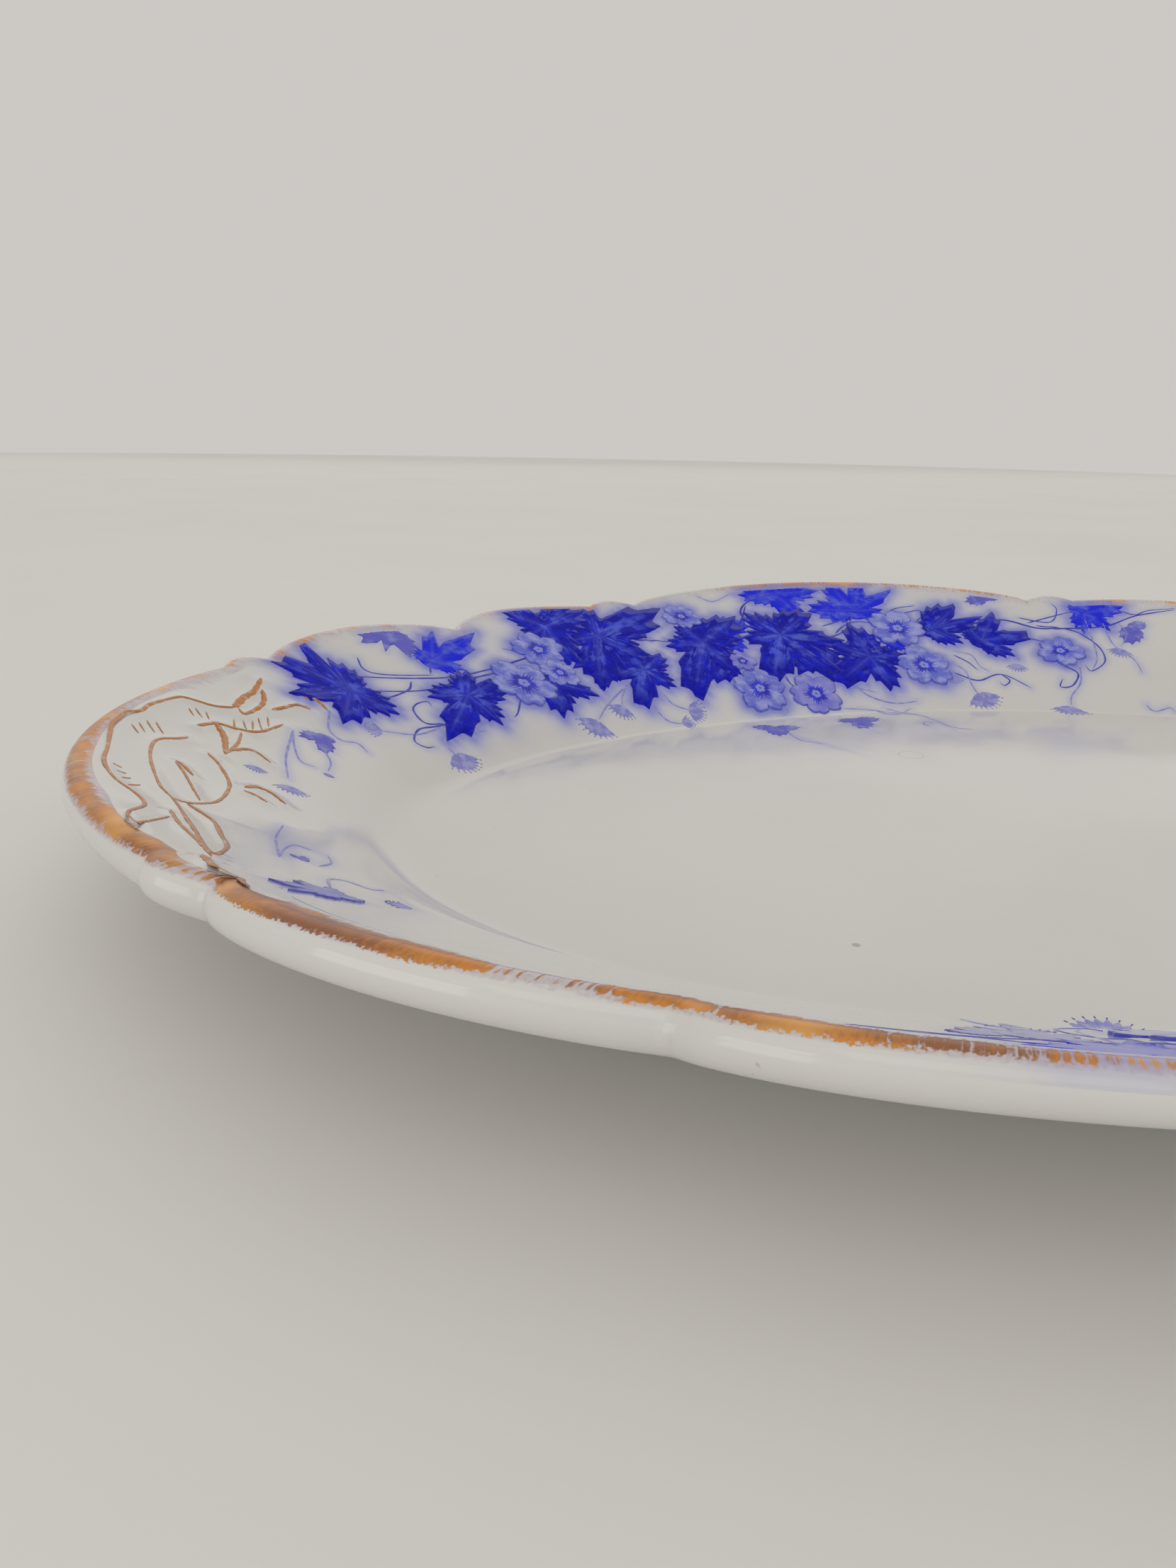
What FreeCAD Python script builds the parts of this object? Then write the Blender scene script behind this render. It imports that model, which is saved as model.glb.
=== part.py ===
import FreeCAD, Part
import math
import os

# Oval serving platter of glazed china. Z is up, X runs along the length and the
# platter stands on the table at Z = 0, centred on the origin.

doc = FreeCAD.newDocument("serving_platter")

# ---------------------------------------------------------------- dimensions
sheet = doc.addObject("Spreadsheet::Sheet", "Dimensions")

DIMENSIONS = [
    # base oval through the tips of the middle lobes, and the flat well
    ("oval_length", 411.4),
    ("oval_width", 304.4),
    ("well_length", 283.4),
    ("well_width", 176.0),
    # heights and wall
    ("floor_top", 7.0),
    ("floor_thickness", 5.0),
    ("wall_thickness", 4.8),
    ("lip_thickness", 6.2),
    # border profile, from the flat well outward
    ("border_span", 64.0),
    ("flat_margin", 2.0),
    ("cavetto_mid", 9.0),
    ("cavetto_end", 20.0),
    ("cavetto_slope", 0.70),
    ("flange_slope", 0.45),
    # scalloped lip: where the valleys lie round a quarter, in degrees
    ("end_valley", 24.5),
    ("shoulder_valley", 29.5),
    ("plain_valley", 50.8),
    ("inner_valley", 66.0),
    ("centre_valley", 70.6),
    # how far each valley and each lobe tip lies inside the base oval
    ("end_valley_inset", 10.6),
    ("shoulder_valley_inset", 12.4),
    ("plain_valley_inset", 14.2),
    ("inner_valley_inset", 8.6),
    ("centre_valley_inset", 9.4),
    ("end_lobe_inset", 9.2),
    ("shoulder_lobe_inset", 6.0),
    ("inner_lobe_inset", 6.4),
    ("bump_rise", 2.6),
    ("lobe_roundness", 0.62),
    # foot ring under the well
    ("foot_length", 274.0),
    ("foot_width", 168.0),
    ("foot_band", 6.5),
    ("foot_height", 2.0),
    ("foot_rounding", 0.8),
    # moulded relief and decoration
    ("relief_height", 1.5),
    ("relief_line", 1.9),
    ("scroll_height", 0.9),
    ("gilding_band", 5.0),
    ("gilding_thickness", 0.12),
]

for row, (alias, value) in enumerate(DIMENSIONS, start=1):
    sheet.set("A%d" % row, alias.replace("_", " "))
    sheet.set("B%d" % row, str(value))
    sheet.setAlias("B%d" % row, alias)
doc.recompute()


def dim(alias):
    """A driving dimension read back from the sheet."""
    return float(sheet.get(alias))


# ------------------------------------------------------------ lip and profile
LENGTH_HALF = dim("oval_length") / 2.0
WIDTH_HALF = dim("oval_width") / 2.0
WELL_X = dim("well_length") / 2.0
WELL_Y = dim("well_width") / 2.0
SPAN = dim("border_span")
FLOOR_TOP = dim("floor_top")

VALLEY_NAMES = ["end", "shoulder", "plain", "inner", "centre"]
VALLEYS = [dim(name + "_valley") for name in VALLEY_NAMES]
DEPTHS = [dim(name + "_valley_inset") for name in VALLEY_NAMES]

# lobes of one quarter: start and end (degrees), inset of the valley at each
# side, inset of the tip (None for a small bump) and number of columns
LOBES = [
    (-VALLEYS[0], VALLEYS[0], DEPTHS[0], DEPTHS[0], dim("end_lobe_inset"), 12),
    (VALLEYS[0], VALLEYS[1], DEPTHS[0], DEPTHS[1], None, 3),
    (VALLEYS[1], VALLEYS[2], DEPTHS[1], DEPTHS[2], dim("shoulder_lobe_inset"), 7),
    (VALLEYS[2], VALLEYS[3], DEPTHS[2], DEPTHS[3], dim("inner_lobe_inset"), 6),
    (VALLEYS[3], VALLEYS[4], DEPTHS[3], DEPTHS[4], None, 3),
    (VALLEYS[4], 180.0 - VALLEYS[4], DEPTHS[4], DEPTHS[4], 0.0, 12),
]


def lip_inset(angle):
    """How far the lip lies inside the base oval, angle in degrees."""
    folded = abs((angle + 180.0) % 360.0 - 180.0)
    folded = min(folded, 180.0 - folded)
    for start, end, depth_start, depth_end, tip, _ in LOBES:
        if start <= folded <= end:
            along = (folded - start) / (end - start)
            swell = max(math.sin(math.pi * along), 0.0)
            valley = depth_start + (depth_end - depth_start) * along
            if tip is None:
                return valley - dim("bump_rise") * swell
            return valley + (tip - valley) * swell ** dim("lobe_roundness")
    return DEPTHS[0]


def column_angles():
    """Angles of the columns round the platter, from the near middle (-90)."""
    quarter = []
    for start, end, _, _, _, count in LOBES:
        for step in range(count):
            angle = start + (end - start) * step / count
            if 0.0 <= angle <= 90.0:
                quarter.append(angle)
    quarter = sorted(set([0.0, 90.0] + [round(angle, 6) for angle in quarter]))
    half = [-angle for angle in reversed(quarter)] + quarter[1:]
    rest = [180.0 - angle for angle in reversed(half)]
    return half[:-1] + rest[:-1]


def rise(distance):
    """Height of the border above the well floor at a distance from the well."""
    flat = dim("flat_margin")
    mid = dim("cavetto_mid")
    end = dim("cavetto_end")
    steep = dim("cavetto_slope")
    flange = dim("flange_slope")
    if distance <= flat:
        return 0.0
    first = min(distance, mid) - flat
    height = 0.5 * steep * first * first / (mid - flat)
    if distance > mid:
        second = min(distance, end) - mid
        height += steep * second - 0.5 * (steep - flange) * second * second / (end - mid)
    if distance > end:
        height += flange * (distance - end)
    return height


class Column:
    """One radial section of the border."""

    def __init__(self, angle):
        self.angle = angle
        turn = math.radians(angle)
        self.well = FreeCAD.Vector(WELL_X * math.cos(turn), WELL_Y * math.sin(turn), 0)
        outer = FreeCAD.Vector(LENGTH_HALF * math.cos(turn), WIDTH_HALF * math.sin(turn), 0)
        self.reach = (outer - self.well).Length
        self.out = (outer - self.well).normalize()
        self.inset = lip_inset(angle) / self.reach

    def fraction(self, ring, shortfall=None):
        """Fraction across the border of a ring that ends short of the oval."""
        short = self.inset if shortfall is None else shortfall
        return ring * (1.0 - short * ring ** 1.5)

    def top(self, fraction):
        point = self.well + self.out * (self.reach * fraction)
        point.z = FLOOR_TOP + rise(SPAN * fraction)
        return point

    def normal(self, fraction):
        step = 0.004
        low = self.top(max(fraction - step, 0.0))
        high = self.top(fraction + step)
        side = FreeCAD.Vector(-self.out.y, self.out.x, 0)
        return (high - low).cross(side).normalize()

    def below(self, fraction, thickness):
        return self.top(fraction) - self.normal(fraction) * thickness


COLUMNS = [Column(angle) for angle in column_angles()]
TOP_RINGS = [0.0, 0.03, 0.08, 0.14, 0.2, 0.26, 0.33, 0.44, 0.6, 0.77, 0.9]
UNDER_RINGS = [0.9, 0.76, 0.6, 0.44, 0.33, 0.26, 0.2, 0.14, 0.08, 0.03, 0.0]


def wall(ring):
    """Thickness of the wall at a ring, thicker toward floor and lip."""
    floor = dim("floor_thickness")
    plain = dim("wall_thickness")
    lip = dim("lip_thickness")
    if ring < 0.3:
        return floor + (plain - floor) * ring / 0.3
    if ring > 0.8:
        return plain + (lip - plain) * (ring - 0.8) / 0.2
    return plain


def border_rows(column):
    """Poles of one column: well edge up to the inner edge of the gilding."""
    gilding_start = column.fraction(1.0) - dim("gilding_band") / column.reach
    rows = [column.top(column.fraction(ring, 1.0 - gilding_start)) for ring in TOP_RINGS]
    rows.append(column.top(gilding_start))
    return rows


def lip_rows(column):
    """Poles of one column: inner edge of the gilding to the outermost lip."""
    edge = column.fraction(1.0)
    band = dim("gilding_band") / column.reach
    radius = dim("lip_thickness") / 2.0
    up = column.normal(edge)
    along = (column.top(edge) - column.top(edge - 0.01)).normalize()
    crown = column.top(edge)
    rows = [column.top(edge - band * part) for part in (1.0, 0.66, 0.33)]
    rows += [crown, crown + along * radius, crown + along * radius - up * radius]
    return rows


def under_rows(column):
    """Poles of one column: outermost lip, under the border, to the floor."""
    edge = column.fraction(1.0)
    radius = dim("lip_thickness") / 2.0
    up = column.normal(edge)
    along = (column.top(edge) - column.top(edge - 0.01)).normalize()
    crown = column.top(edge)
    rows = [crown + along * radius - up * radius, crown + along * radius - up * 2 * radius]
    rows.append(crown - up * 2 * radius)
    rows += [column.below(column.fraction(ring), wall(ring)) for ring in UNDER_RINGS]
    return rows


def ring_surface(rows_of):
    """Smooth closed surface round the platter from the poles of each column."""
    poles = [rows_of(column) for column in COLUMNS]
    poles = [list(row) for row in zip(*poles)]
    rows = len(poles)
    columns = len(COLUMNS)
    inner = rows - 2
    knots = [float(step) for step in range(inner)]
    mults = [4] + [1] * (inner - 2) + [4]
    surface = Part.BSplineSurface()
    surface.buildFromPolesMultsKnots(
        poles, mults, [1] * (columns + 1), knots,
        [float(step) for step in range(columns + 1)], False, True, 3, 3)
    return surface


def flat_cap(face, height):
    """Flat face that closes the ring of a surface lying at one height."""
    for edge in face.Edges:
        box = edge.BoundBox
        if box.ZLength < 1e-4 and abs(box.ZMin - height) < 1e-4:
            return Part.Face(Part.Wire([edge]))
    raise ValueError("no flat ring at height %s" % height)


def closed_solid(faces):
    """One closed solid from faces that meet along their edges."""
    shell = Part.makeShell(faces)
    shell.sewShape()
    solid = Part.makeSolid(Part.Shell(shell.Faces))
    if solid.Volume < 0:
        solid.reverse()
    if not solid.isValid() or not solid.isClosed():
        raise ValueError("solid is not closed")
    return solid


def add_feature(name, shape):
    feature = doc.addObject("Part::Feature", name)
    feature.Label = name
    feature.Shape = shape
    feature.Placement = FreeCAD.Placement(FreeCAD.Vector(0, 0, 0), FreeCAD.Rotation(0, 0, 0))
    return feature


# ------------------------------------------------------------- platter body
border_surface = ring_surface(border_rows)
lip_surface = ring_surface(lip_rows)
under_surface = ring_surface(under_rows)

border_face = border_surface.toShape()
under_face = under_surface.toShape()
platter_faces = [
    flat_cap(border_face, FLOOR_TOP),
    border_face,
    lip_surface.toShape(),
    under_face,
    flat_cap(under_face, FLOOR_TOP - dim("floor_thickness")),
]
platter_body = add_feature("platter_body", closed_solid(platter_faces))

# ---------------------------------------------------------------- foot ring
def oval_block(name, shrink):
    """Upright oval block of the foot, made smaller all round by shrink."""
    oval = doc.addObject("Part::Ellipse", name + "_outline")
    oval.setExpression("MajorRadius", "Dimensions.foot_length / 2" + shrink)
    oval.setExpression("MinorRadius", "Dimensions.foot_width / 2" + shrink)
    block = doc.addObject("Part::Extrusion", name)
    block.Base = oval
    block.DirMode = "Custom"
    block.Dir = FreeCAD.Vector(0, 0, 1)
    block.setExpression("LengthFwd", "Dimensions.foot_height")
    block.Solid = True
    return block


foot_outer = oval_block("foot_outer", "")
foot_inner = oval_block("foot_inner", " - Dimensions.foot_band")
foot_band = doc.addObject("Part::Cut", "foot_band")
foot_band.Base = foot_outer
foot_band.Tool = foot_inner
doc.recompute()

foot_ring = doc.addObject("Part::Fillet", "foot_ring")
foot_ring.Base = foot_band
foot_edges = [
    (number, dim("foot_rounding"), dim("foot_rounding"))
    for number, edge in enumerate(foot_band.Shape.Edges, start=1)
    if edge.BoundBox.ZMax < 1e-4
]
foot_ring.Edges = foot_edges
foot_ring.Label = "foot_ring"


# ----------------------------------------------------- layers on the border
def lifted(surface, lift):
    """Copy of a surface with its inner poles raised by lift(point)."""
    copy = surface.copy()
    rows = copy.NbUPoles
    columns = copy.NbVPoles
    poles = surface.getPoles()
    for row in range(1, rows - 1):
        for column in range(columns):
            if not surface.isVPeriodic() and column in (0, columns - 1):
                continue
            before = poles[row - 1][column]
            after = poles[row + 1][column]
            left = poles[row][(column - 1) % columns]
            right = poles[row][(column + 1) % columns]
            up = (after - before).cross(right - left)
            up = up.normalize() if up.z > 0 else up.normalize() * -1.0
            copy.setPole(row + 1, column + 1, poles[row][column] + up * lift(poles[row][column]))
    return copy


def layer(surface, lift):
    """Closed thin solid lying on a surface."""
    return closed_solid([surface.toShape(), lifted(surface, lift).toShape()])


def column_at(angle):
    """Whole parameter round the platter nearest to an angle in degrees."""
    aim = Column(angle).out

    def miss(step):
        point = border_surface.value(6.0, float(step))
        centre = Column(angle).well
        side = (point - centre).cross(aim)
        behind = (point - centre).dot(aim) < 0
        return abs(side.z) + (1000.0 if behind else 0.0)

    return float(min(range(len(COLUMNS)), key=miss))


def patch(inner, outer, start, end, refine):
    """Part of the border surface between two rows and two angles, refined."""
    piece = border_surface.copy()
    piece.segment(inner, outer, column_at(start), column_at(end))
    for get, insert in ((piece.getUKnots, piece.insertUKnot), (piece.getVKnots, piece.insertVKnot)):
        for _ in range(refine):
            knots = get()
            for low, high in zip(knots[:-1], knots[1:]):
                insert((low + high) / 2.0, 1, 1e-7)
    return piece


# moulded scrolls of the end cartouche, in millimetres on the left end:
# distance outward from the well edge, distance along the border, radius, sweep
CARTOUCHE = [
    ("fruit", 20.0, -2.0, 8.5, 0.0, 360.0),
    ("fruit_seam", 15.0, 3.0, 8.0, -60.0, 60.0),
    ("upper_leaf", 31.0, -17.0, 10.0, 60.0, 250.0),
    ("lower_leaf", 31.0, 16.0, 10.0, 110.0, 300.0),
    ("crest", 22.0, 0.0, 23.0, -75.0, 75.0),
    ("upper_tail", 20.0, -36.0, 11.0, 20.0, 150.0),
    ("lower_tail", 19.0, 35.0, 11.0, 210.0, 340.0),
]


def arc_distance(outward, along, scroll):
    """Distance of a point from one scroll of the cartouche."""
    _, centre_out, centre_along, radius, start, end = scroll
    east = outward - centre_out
    north = along - centre_along
    turn = math.degrees(math.atan2(north, east))
    while turn < start:
        turn += 360.0
    if turn <= end:
        return abs(math.hypot(east, north) - radius)
    ends = []
    for tip in (start, end):
        tip_out = radius * math.cos(math.radians(tip))
        tip_along = radius * math.sin(math.radians(tip))
        ends.append(math.hypot(east - tip_out, north - tip_along))
    return min(ends)


def cartouche_lift(point):
    """Height of the end cartouche above the flange."""
    along = point.y
    outward = abs(point.x) - WELL_X * math.sqrt(max(0.0, 1.0 - 0.6 * (point.y / WELL_Y) ** 2))
    width = dim("relief_line")
    height = 0.0
    for scroll in CARTOUCHE:
        gap = arc_distance(outward, along, scroll)
        height = max(height, math.exp(-(gap / width) ** 2))
    return dim("relief_height") * (0.22 + 0.78 * height)


end_relief = {}
for name, start, end in (("end_relief_left", 150.0, 210.0), ("end_relief_right", -30.0, 30.0)):
    relief_patch = patch(3.0, 8.5, start, end, 1)
    end_relief[name] = add_feature(name, layer(relief_patch, cartouche_lift))

# small moulded scrolls on the flange behind the valleys beside the middle lobe
SCROLL_CENTRES = [68.0, 112.0, -68.0, 248.0]
SCROLL_NAMES = ["flange_scroll_far_right", "flange_scroll_far_left",
                "flange_scroll_near_right", "flange_scroll_near_left"]


def scroll_lift(centre):
    """Height of a flange scroll round its centre column."""
    middle = Column(centre).top(0.74)

    def lift(point):
        gap = (point - middle).Length
        curl = math.exp(-((gap - 8.0) / 2.2) ** 2) + 0.8 * math.exp(-(gap / 2.6) ** 2)
        return dim("scroll_height") * (0.15 + 0.85 * min(curl, 1.0))

    return lift


for name, centre in zip(SCROLL_NAMES, SCROLL_CENTRES):
    scroll_patch = patch(6.2, 8.6, centre - 6.0, centre + 6.0, 1)
    add_feature(name, layer(scroll_patch, scroll_lift(centre)))

# gilding of the lip
add_feature("lip_gilding", layer(lip_surface, lambda point: dim("gilding_thickness")))

doc.recompute()

# ------------------------------------------------------------------- export
NODES = ["platter_body", "foot_ring", "end_relief_left", "end_relief_right", "lip_gilding"]
NODES += SCROLL_NAMES

for item in doc.Objects:
    if "Invalid" in item.State or "Error" in item.State:
        raise RuntimeError("%s is not valid" % item.Label)

os.makedirs("parts", exist_ok=True)
for label in NODES:
    node = doc.getObjectsByLabel(label)[0]
    if node.Shape.isNull() or not node.Shape.isValid():
        raise RuntimeError("%s has no valid shape" % label)
    node.Shape.exportStep("parts/%s.step" % label)
    box = node.Shape.BoundBox
    print("%-26s volume %10.1f  x %7.1f %7.1f  y %7.1f %7.1f  z %6.2f %6.2f" % (
        label, node.Shape.Volume, box.XMin, box.XMax, box.YMin, box.YMax, box.ZMin, box.ZMax))
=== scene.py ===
import math
import random

import bpy
import numpy as np
from mathutils import Matrix, Vector
from mathutils.kdtree import KDTree


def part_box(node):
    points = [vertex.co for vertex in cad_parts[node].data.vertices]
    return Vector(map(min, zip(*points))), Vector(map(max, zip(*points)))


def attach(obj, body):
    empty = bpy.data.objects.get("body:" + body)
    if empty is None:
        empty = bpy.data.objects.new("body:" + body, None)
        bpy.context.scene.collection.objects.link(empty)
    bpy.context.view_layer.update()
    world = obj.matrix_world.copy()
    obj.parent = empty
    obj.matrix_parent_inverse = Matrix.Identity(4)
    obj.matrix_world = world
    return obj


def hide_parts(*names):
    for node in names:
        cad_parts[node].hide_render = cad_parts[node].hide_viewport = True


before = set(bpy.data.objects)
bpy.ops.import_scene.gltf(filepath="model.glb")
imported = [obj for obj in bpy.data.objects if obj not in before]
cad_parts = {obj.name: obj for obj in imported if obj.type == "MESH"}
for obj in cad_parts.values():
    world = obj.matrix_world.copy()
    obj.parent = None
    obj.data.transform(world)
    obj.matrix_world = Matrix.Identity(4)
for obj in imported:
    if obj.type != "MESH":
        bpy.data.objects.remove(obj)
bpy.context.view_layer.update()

random.seed(11)

# ------------------------------------------------------------- platter form
# metres, the same border as the CAD body
OVAL_X, OVAL_Y = 0.2057, 0.1522
WELL_X, WELL_Y = 0.1417, 0.088
SPAN, FLOOR_TOP, FLOOR_THICK = 0.064, 0.007, 0.005
WALL, LIP = 0.0048, 0.0062
VALLEYS = [24.5, 29.5, 50.8, 66.0, 70.6]
DEPTHS = [0.0106, 0.0124, 0.0142, 0.0086, 0.0094]
TIPS = [0.0092, None, 0.006, 0.0064, None, 0.0]
BUMP_RISE = 0.0026
TIP_ROUNDNESS = 0.62

# moulded relief, metres
RIB_MIN_WIDTH = 0.6
RIB_HEIGHT, RIB_SPREAD = 0.00060, 0.0014
SWELL_HEIGHT, SWELL_SPREAD = 0.00032, 0.005
RELIEF_REACH = 0.008
SCROLL_RADIUS, SCROLL_POINTS, SCROLL_TURN = 0.0052, 60, 0.17

# print, metres unless said otherwise
FIGURE_POINTS, FIGURE_SCALE, SKIRT = 144, 0.96, 0.0001
LEAF_SIDE, LEAF_REACH = 0.004, 0.02
LEAF_BODY, LEAF_CORE = 0.34, 0.38
LOBE_LIMIT, LOBE_SPREAD, LOBE_GAIN, LOBE_POWER = 96.0, 0.66, 1.12, 0.85
TOOTH_DEPTH = 0.10
PRINT_LIFT, LINE_LIFT, FLOWER_LIFT, GOLD_LIFT = 0.00006, 0.00005, 0.00030, 0.00010
STEM_WIDTH, GOLD_WIDTH = 0.0023, 0.00105
UMBEL_LARGE, UMBEL_SMALL, UMBEL_ZONE = 1.75, 0.75, 74.0
FLOW_NEAR, FLOW_LINE, FLOW_WIDE = 0.0023, 0.0014, 0.0055
SMALL_LEAF, SMALL_SHIFT = 0.40, 3.0

# figures of the print in border terms: angle round the platter (degrees) and
# fraction across the border; tones are dark, middle and pale
# leaves: tone, angle, fraction, tips as (direction, millimetres)
LEAVES = [
    ("d", 148.5, 0.58, [(-103, 10.1), (-33, 14.1), (7, 15.5), (68, 18.3), (106, 19.4),
        (117, 10.9)]),
    ("d", 137.3, 0.41, [(-90, 9.8), (-33, 18.9), (13, 9.7), (137, 9.9), (171, 12.6)]),
    ("m", 135.9, 0.64, [(-143, 7.2), (86, 5.0), (131, 12.7), (162, 18.9)]),
    ("p", 136.1, 0.87, [(-80, 10.8), (-48, 9.3), (-23, 10.5)]),
    ("d", 120.6, 0.76, [(-81, 15.9), (-53, 15.6), (-25, 9.1), (45, 11.2), (162, 14.7)]),
    ("d", 126.2, 0.40, [(-141, 10.4), (-60, 12.0), (171, 7.2)]),
    ("d", 116.4, 0.66, [(-130, 13.9), (-60, 21.8), (-6, 9.4), (112, 12.1), (161, 25.1)]),
    ("d", 115.0, 0.41, [(-117, 8.7), (-54, 15.6), (-9, 10.2), (89, 6.4), (152, 9.5)]),
    ("d", 106.1, 0.56, [(-103, 13.7), (-57, 25.0), (-6, 10.6), (69, 9.0), (148, 17.3)]),
    ("d", 97.2, 0.59, [(-166, 16.9), (-114, 21.8), (-60, 22.7), (-10, 11.8), (54, 11.9),
        (143, 15.9)]),
    ("m", 95.0, 0.92, [(-109, 11.7), (-7, 11.0), (177, 13.5)]),
    ("m", 88.1, 0.77, [(-180, 8.6), (3, 13.6), (78, 14.6), (117, 16.8), (149, 17.2)]),
    ("d", 89.2, 0.41, [(-97, 12.9), (-39, 17.6), (32, 12.1), (86, 14.6), (180, 10.4)]),
    ("d", 81.2, 0.62, [(-140, 9.2), (138, 15.4), (162, 16.6)]),
    ("d", 76.4, 0.53, [(-141, 9.5), (70, 7.1), (121, 14.7), (169, 15.7)]),
    ("m", 65.1, 0.78, [(-124, 9.4), (-78, 9.8), (40, 5.3), (166, 11.5)]),
    ("p", 107.1, -0.09, [(-171, 5.7), (-61, 6.8), (35, 5.9)]),
    ("p", 95.7, -0.05, [(-67, 8.5), (-6, 5.6), (175, 5.8)]),
    ("d", 117.8, 0.53, [(-129, 11.0), (-53, 13.8), (-17, 10.9)]),
    ("m", 103.6, 0.65, [(-112, 10.6), (-15, 10.1), (169, 11.2)]),
    ("d", 104.6, 0.44, [(-159, 5.4), (-42, 12.3), (26, 5.3)]),
    ("d", 94.5, 0.48, [(-117, 8.3), (-47, 13.4)]),
    ("p", 159.9, 0.43, [(-110, 2.3), (-26, 6.5), (26, 5.2)]),
    ("p", 74.5, 0.88, [(-21, 6.5), (164, 4.5)]),
    ("p", 60.4, 0.68, [(-69, 8.7), (148, 3.7)]),
    ("m", 86.5, 0.53, [(-138, 6.0), (85, 5.7)]),
]
# flowers: tone, angle, fraction, radius in millimetres
FLOWERS = [
    ("d", 129.6, 0.42, 9.4),
    ("m", 123.9, 0.61, 8.1),
    ("m", 124.4, 0.45, 5.6),
    ("d", 106.0, 0.76, 6.5),
    ("m", 103.9, 0.23, 8.5),
    ("p", 97.8, 0.18, 8.0),
    ("m", 84.6, 0.62, 9.2),
    ("m", 83.8, 0.34, 8.9),
    ("d", 68.4, 0.46, 7.4),
    ("p", 103.5, 0.41, 4.4),
]
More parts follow.
